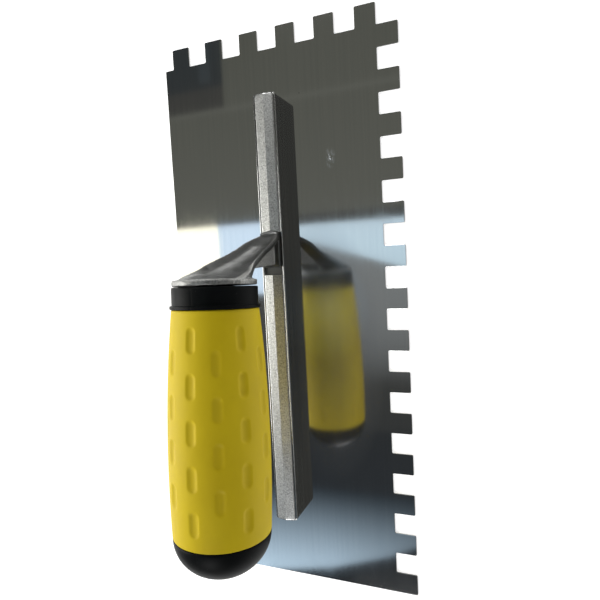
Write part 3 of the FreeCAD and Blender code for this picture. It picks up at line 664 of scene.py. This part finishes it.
# The scoops are coloured darker, unevenly, most on their floors.
scoop_darkening = times(yellow_rubber, hollow, spread(yellow_rubber, clouds, 0.35, 0.7, 0.05, 0.3))
yellow = blend(yellow_rubber, scoop_darkening, yellow, SCOOP_DARK)
join(yellow_rubber, surface, "Base Color", blend(yellow_rubber, dots, yellow, DARK_SPOT))
join(yellow_rubber, surface, "Roughness", spread(yellow_rubber, clouds, 0.3, 0.7, 0.55, 0.66))
relief(yellow_rubber, surface, skin_grain, 0.01 * MM)
add_piece("rubber_sleeve", sleeve_mesh, yellow_rubber, "grip_sleeve")
sleeve_mesh.set_sharp_from_angle(angle=math.radians(60))


# ---------------------------------------------------------------- butt cap
# A hollow rounded cap, moulded in the same black plastic with the same parting lines. It pushes on to the
# core's spigot, closes off the nut and leaves a hairline joint against the rubber.
CAP_FRONT, CAP_TIP, CAP_RADIUS = 95.56, 112.0, 19.17
CAP_STEPS, CAP_EDGE, CAP_FADE = 26, 0.2, 9.0
cap_outside = [(CAP_FRONT, CAP_RADIUS - 0.35), (CAP_FRONT + 0.05, CAP_RADIUS - 0.12)]
cap_outside.append((CAP_FRONT + CAP_EDGE, CAP_RADIUS))
for i in range(1, CAP_STEPS + 1):
    angle = math.pi / 2 * i / CAP_STEPS
    along = CAP_FRONT + CAP_EDGE + (CAP_TIP - CAP_FRONT - CAP_EDGE) * math.sin(angle)
    cap_outside.append((along, CAP_RADIUS * math.cos(angle)))
cap_inside = [(109.0, 0.0), (101.6, 10.0), (101.6, 13.1), (CAP_FRONT, 13.1)]


def cap_parted(along, radius, turn):
    """The cap's parting lines fade out towards its tip."""
    fade = max(0.0, 1 - (along - CAP_FRONT) / CAP_FADE)
    return along, radius - (radius - parted(along, radius, turn)[1]) * fade


cap_mesh = turned("butt_cap", cap_outside + cap_inside, with_parting_lines(), cap_parted)
add_piece("rounded_cap", cap_mesh, black_plastic, "butt_cap")
cap_mesh.set_sharp_from_angle(angle=math.radians(50))


# ---------------------------------------------------------------- tang, washer and nut
# A zinc-plated steel rod screws into the neck's spigot and runs through the core. A washer and a hexagon
# nut on its end pull the handle on to the neck. All three are hidden once the cap is on.
zinc_steel, surface = new_material("zinc_steel", {"Metallic": 1.0, "IOR": 2.3})
spangle = mottle(zinc_steel, (260, 260, 260), detail=3, sharpness=0.7)
ZINC_DARK, ZINC_BRIGHT = (0.47, 0.48, 0.50, 1), (0.62, 0.63, 0.64, 1)
tone = blend(zinc_steel, spread(zinc_steel, spangle, 0.3, 0.7), ZINC_DARK, ZINC_BRIGHT)
join(zinc_steel, surface, "Base Color", tone)
join(zinc_steel, surface, "Roughness", spread(zinc_steel, spangle, 0.3, 0.7, 0.28, 0.42))
relief(zinc_steel, surface, spangle, 0.01 * MM)
for name in ("tang", "tang_washer", "tang_nut"):
    finish_node(name, zinc_steel)


# ---------------------------------------------------------------- floor and light
# A plain white lit floor. The main soft light stands on the left, with weaker ones behind, in front and on
# the right. Glowing and grey boards hang overhead, clear of the view, for the polished steel to mirror.
FLOOR_HALF, FLOOR_HEIGHT, FLOOR_GLOW = 2.0, -0.0003, 0.62
BOARD_HEIGHT, BOARD_GLOW = 0.6, 1.2
LIGHT_AIM = Vector((0, 0, 0.05))
ROOM_GREY = (0.105, 0.106, 0.10, 1)


def rectangle(x_low, x_high, y_low, y_high):
    return [(x_low, y_low), (x_high, y_low), (x_high, y_high), (x_low, y_high)]


def flat_sheet(name, corners, height):
    """One level sheet with the given corners, for the floor or a board."""
    mesh = bpy.data.meshes.new(name)
    mesh.from_pydata([(x, y, height) for x, y in corners], [], [tuple(range(len(corners)))])
    sheet = bpy.data.objects.new(name, mesh)
    scene.collection.objects.link(sheet)
    return sheet


white = {"Base Color": (0.9, 0.9, 0.9, 1), "Roughness": 0.9}
glow = {"Emission Color": (1, 1, 1, 1), "Emission Strength": FLOOR_GLOW}
floor = flat_sheet("floor", rectangle(-FLOOR_HALF, FLOOR_HALF, -FLOOR_HALF, FLOOR_HALF), FLOOR_HEIGHT)
floor.data.materials.append(new_material("white_floor", white | glow)[0])


def hang_board(name, corners, rear, front=None, drop=0.0, power=1.0, fade=None):
    """A glowing board overhead. Its light runs from the rear colour, at its -Y side, to the front one.

    With no front colour it glows evenly. It hangs lower by the drop, in metres. The power bends the
    change, and the fade gives the two places along x between which the rear colour dies away.
    """
    front = front or rear
    board = flat_sheet(name, corners, BOARD_HEIGHT - drop)
    material = bpy.data.materials.new(name)
    material.use_nodes = True
    tree = material.node_tree
    tree.nodes.remove(tree.nodes["Principled BSDF"])
    place = add_node(material, "TexCoord").outputs["Object"]
    split = add_node(material, "SeparateXYZ", {0: place})
    near, far = min(y for x, y in corners), max(y for x, y in corners)
    share = calculate(material, "POWER", spread(material, split.outputs["Y"], far, near), power)
    if fade:
        share = times(material, share, spread(material, split.outputs["X"], *fade, 1.0, 0.0))
    colour = blend(material, share, (*front, 1), (*rear, 1))
    light = add_node(material, "Emission", {"Color": colour, "Strength": BOARD_GLOW})
    tree.links.new(light.outputs[0], tree.nodes["Material Output"].inputs["Surface"])
    board.data.materials.append(material)


# In front of the neck: a grey ceiling with a pale joint, and a darker door in its frame.
hang_board("far_ceiling", rectangle(-0.62, 0.02, 0.108, 0.50), (0.150, 0.153, 0.135), (0.108, 0.111, 0.095))
joint = rectangle(-0.62, 0.02, 0.304, 0.311)
hang_board("ceiling_joint", joint, (0.175, 0.178, 0.158), (0.15, 0.153, 0.135), drop=0.006)
hang_board("dark_door", rectangle(-0.513, -0.363, 0.352, 0.50), (0.044, 0.050, 0.053), drop=0.004)
panel = rectangle(-0.41, -0.385, 0.36, 0.44)
hang_board("door_panel", panel, (0.060, 0.070, 0.076), (0.050, 0.060, 0.065), drop=0.008)
hang_board("door_frame", rectangle(-0.513, -0.363, 0.313, 0.352), (0.068, 0.068, 0.064), drop=0.004)

# Beside the neck: two windows on the left and a slanted one over the handle.
hang_board("key_window", rectangle(-0.72, -0.395, -0.13, 0.100), (2.2, 2.12, 1.74))
hang_board("sky_window", rectangle(-0.395, -0.300, -0.03, 0.100), (0.98, 1.2, 1.45))
wedge = [(-0.238, 0.066), (-0.034, 0.003), (-0.034, 0.090), (-0.238, 0.090)]
hang_board("slanted_window", wedge, (0.76, 0.98, 1.13), (0.80, 1.0, 1.15))

# Behind it: a pale shelf, a dim strip, a dark beam, and a low window with a dark corner.
shelf = rectangle(-0.26, 0.02, -0.19, 0.062)
hang_board("pale_shelf", shelf, (0.055, 0.057, 0.056), (0.26, 0.275, 0.28), drop=-0.004, power=3.5)
hang_board("dim_ceiling", rectangle(-0.30, 0.02, -0.272, -0.19), (0.050, 0.053, 0.054), (0.060, 0.062, 0.060))
hang_board("dark_beam", rectangle(-0.60, 0.02, -0.385, -0.272), (0.034, 0.039, 0.045), (0.036, 0.040, 0.044))
low = rectangle(-0.60, 0.02, -0.60, -0.385)
hang_board("low_window", low, (1.06, 1.39, 1.70), (0.035, 0.045, 0.055), power=1.3, fade=(-0.20, 0.30))
corner = [(-0.33, -0.60), (-0.02, -0.60), (-0.02, -0.455), (-0.09, -0.492), (-0.20, -0.532), (-0.33, -0.560)]
hang_board("dark_corner", corner, (0.012, 0.014, 0.017), (0.03, 0.035, 0.04), drop=0.004)


def hang_light(name, place, size, watts, colour):
    """A soft square light that faces the tool."""
    lamp = bpy.data.lights.new(name, "AREA")
    lamp.shape = "SQUARE"
    lamp.size = size
    lamp.energy = watts
    lamp.color = colour
    light = bpy.data.objects.new(name, lamp)
    light.location = place
    light.rotation_euler = (Vector(place) - LIGHT_AIM).to_track_quat("Z", "Y").to_euler()
    scene.collection.objects.link(light)


hang_light("key", (-1.35, -0.10, 0.58), 0.9, 15.5, (1.0, 0.99, 0.96))
hang_light("fill", (1.15, -0.30, 0.80), 0.7, 0.9, (0.97, 0.99, 1.0))
hang_light("rear", (-0.15, -1.30, 1.10), 0.5, 9.0, (1.0, 1.0, 1.0))
hang_light("front", (-0.35, 0.95, 0.95), 0.4, 5.5, (1.0, 1.0, 1.0))

world = bpy.data.worlds.new("room")
world.use_nodes = True
world.node_tree.nodes["Background"].inputs["Color"].default_value = ROOM_GREY
world.node_tree.nodes["Background"].inputs["Strength"].default_value = 1.0
scene.world = world
scene.view_settings.view_transform = "Standard"
scene.view_settings.look = "None"


# ---------------------------------------------------------------- camera
# A short lens close over the blade's notched side, looking down on it and a little towards the handle.
EYE = Vector((0.1049, 0.0240, 0.2373))
RIGHT = Vector((0.9264, -0.0512, -0.3730))
BACK = Vector((0.3759, 0.0734, 0.9237))
lens = bpy.data.cameras.new("camera")
lens.lens = 30.47
lens.sensor_width = 36.0
lens.clip_start = 0.01
camera = bpy.data.objects.new("camera", lens)
away = BACK.normalized()
sideways = (RIGHT - away * RIGHT.dot(away)).normalized()
facing = Matrix((sideways, away.cross(sideways), away)).transposed()
camera.matrix_world = Matrix.Translation(EYE) @ facing.to_4x4()
scene.collection.objects.link(camera)
scene.camera = camera
